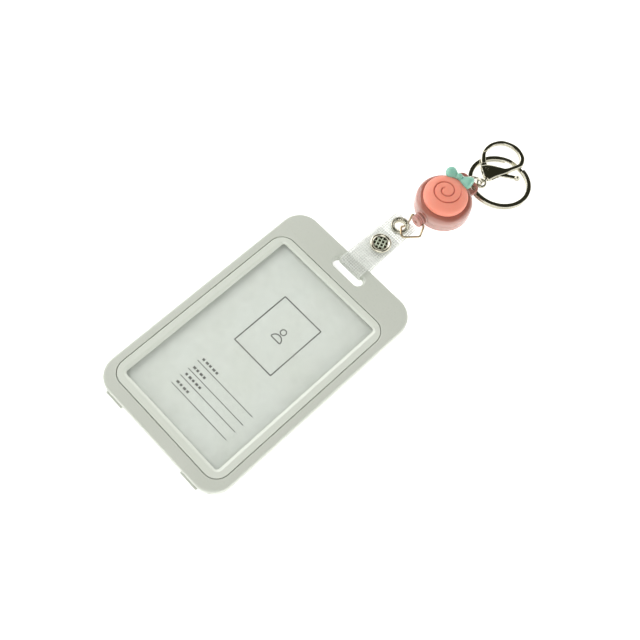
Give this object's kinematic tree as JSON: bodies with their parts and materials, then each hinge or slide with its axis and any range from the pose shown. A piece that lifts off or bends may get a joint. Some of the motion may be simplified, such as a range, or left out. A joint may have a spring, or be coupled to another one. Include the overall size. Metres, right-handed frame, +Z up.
{
  "type": "retractable badge reel",
  "caption": "Round spring reel with a cord, snap strap and rigid slide-cover card holder, hung from a split ring and swivel clasp.",
  "frame": {"origin": "middle of the whole object's base, on the surface it lies on", "axes": "+Y from the holder's near edge towards the clasp, +Z up out of the card's face, +X to the right seen from above"},
  "size_m": [0.0684, 0.2028, 0.0122],
  "materials": {
    "holder_abs": "fine matt, light grey with a green tint",
    "bezel_abs": "smooth satin",
    "window_clear": "clear film",
    "card_stock": "coated card with printed lines",
    "clear_vinyl": "clear vinyl over a white mesh",
    "nickel": "polished nickel",
    "brass_wire": "dull drawn wire",
    "bead_pink": "moulded, ribbed",
    "nylon_cord": "braided",
    "reel_pink": "glossy, slightly translucent",
    "coral_resin": "soft matt resin",
    "mint_resin": "soft matt resin",
    "white_acetal": "natural acetal",
    "spring_steel": "blued strip"
  },
  "bodies": {
    "reel": {"case_back": "reel_pink", "case_front": "reel_pink", "medallion": "coral_resin", "bow": "mint_resin", "power_spring": "spring_steel"},
    "spool": {"spool": "white_acetal", "spool_cover": "white_acetal", "cord_winding": "nylon_cord"},
    "cord_end": {"cord_bead": "bead_pink", "cord_tail": "nylon_cord"},
    "loop": {"wire_loop": "brass_wire"},
    "strap": {"strap_band": "clear_vinyl", "snap_stud": "nickel", "snap_post": "nickel", "eyelet_front": "nickel", "eyelet_back": "nickel"},
    "flap": {"strap_flap": "clear_vinyl", "snap_cap": "nickel", "snap_socket": "nickel"},
    "holder": {"holder_frame": "holder_abs", "window_bezel": "bezel_abs", "window_film": "window_clear"},
    "tray": {"slide_cover": "holder_abs", "card_insert": "card_stock"},
    "link": {"jump_ring": "nickel"},
    "ring": {"key_ring": "nickel"},
    "swivel": {"swivel_eye": "nickel"},
    "clasp": {"clasp_hook": "nickel", "gate_pin": "nickel", "gate_spring": "spring_steel"},
    "gate": {"clasp_gate": "nickel"}
  },
  "joints": [
    {"name": "cord_pull", "type": "slide", "parent": "reel", "child": "cord_end", "axis": [-0.0872, -0.9962, 0], "range_m": [0, 0.6], "stiffness_N_per_m": 1.2, "springref_m": -0.3},
    {"name": "spool_spin", "type": "hinge", "parent": "reel", "child": "spool", "pos_m": [0.00475, 0.05675, 0.0036], "axis": [0, 0, 1], "continuous": true},
    {"name": "loop_swing", "type": "hinge", "parent": "cord_end", "child": "loop", "pos_m": [0.00348, 0.04226, 0.0036], "axis": [0.9962, -0.0872, 0], "range_deg": [-70, 70]},
    {"name": "strap_swing", "type": "hinge", "parent": "loop", "child": "strap", "pos_m": [0.0001, 0.03485, 0.003], "axis": [0, 0, 1], "range_deg": [-20, 20]},
    {"name": "flap_open", "type": "hinge", "parent": "strap", "child": "flap", "pos_m": [0.0003, 0.01495, 0.0048], "axis": [1, 0, 0], "range_deg": [0, 110]},
    {"name": "holder_swing", "type": "hinge", "parent": "strap", "child": "holder", "pos_m": [0.0003, 0.00755, 0.003], "axis": [1, 0, 0], "range_deg": [-45, 45], "deforming": ["strap_band", "strap_flap"]},
    {"name": "cover_slide", "type": "slide", "parent": "holder", "child": "tray", "axis": [0, -1, 0], "range_m": [0, 0.09]},
    {"name": "link_swing", "type": "hinge", "parent": "reel", "child": "link", "pos_m": [0.00609, 0.07209, 0.0062], "axis": [0.9962, -0.0872, 0], "range_deg": [-3, 20]},
    {"name": "ring_swing", "type": "hinge", "parent": "link", "child": "ring", "pos_m": [0.0066, 0.0729, 0.0035], "axis": [0, 0, 1], "range_deg": [-3, 10]},
    {"name": "eye_swing", "type": "hinge", "parent": "link", "child": "swivel", "pos_m": [0.0096, 0.07555, 0.0046], "axis": [0, 0, 1], "range_deg": [-20, 14]},
    {"name": "clasp_swivel", "type": "hinge", "parent": "swivel", "child": "clasp", "pos_m": [0.0096, 0.07885, 0.0046], "axis": [0, 1, 0], "range_deg": [-4, 4]},
    {"name": "gate_open", "type": "hinge", "parent": "clasp", "child": "gate", "pos_m": [0.0066, 0.08225, 0.0046], "axis": [0, 0, -1], "range_deg": [0, 20], "stiffness_Nm_per_rad": 0.002, "springref_deg": -17.19, "deforming": ["gate_spring"]}
  ],
  "couplings": [
    {"joint": "spool_spin", "follows": "cord_pull", "rad_per_m": 108.1}
  ]
}
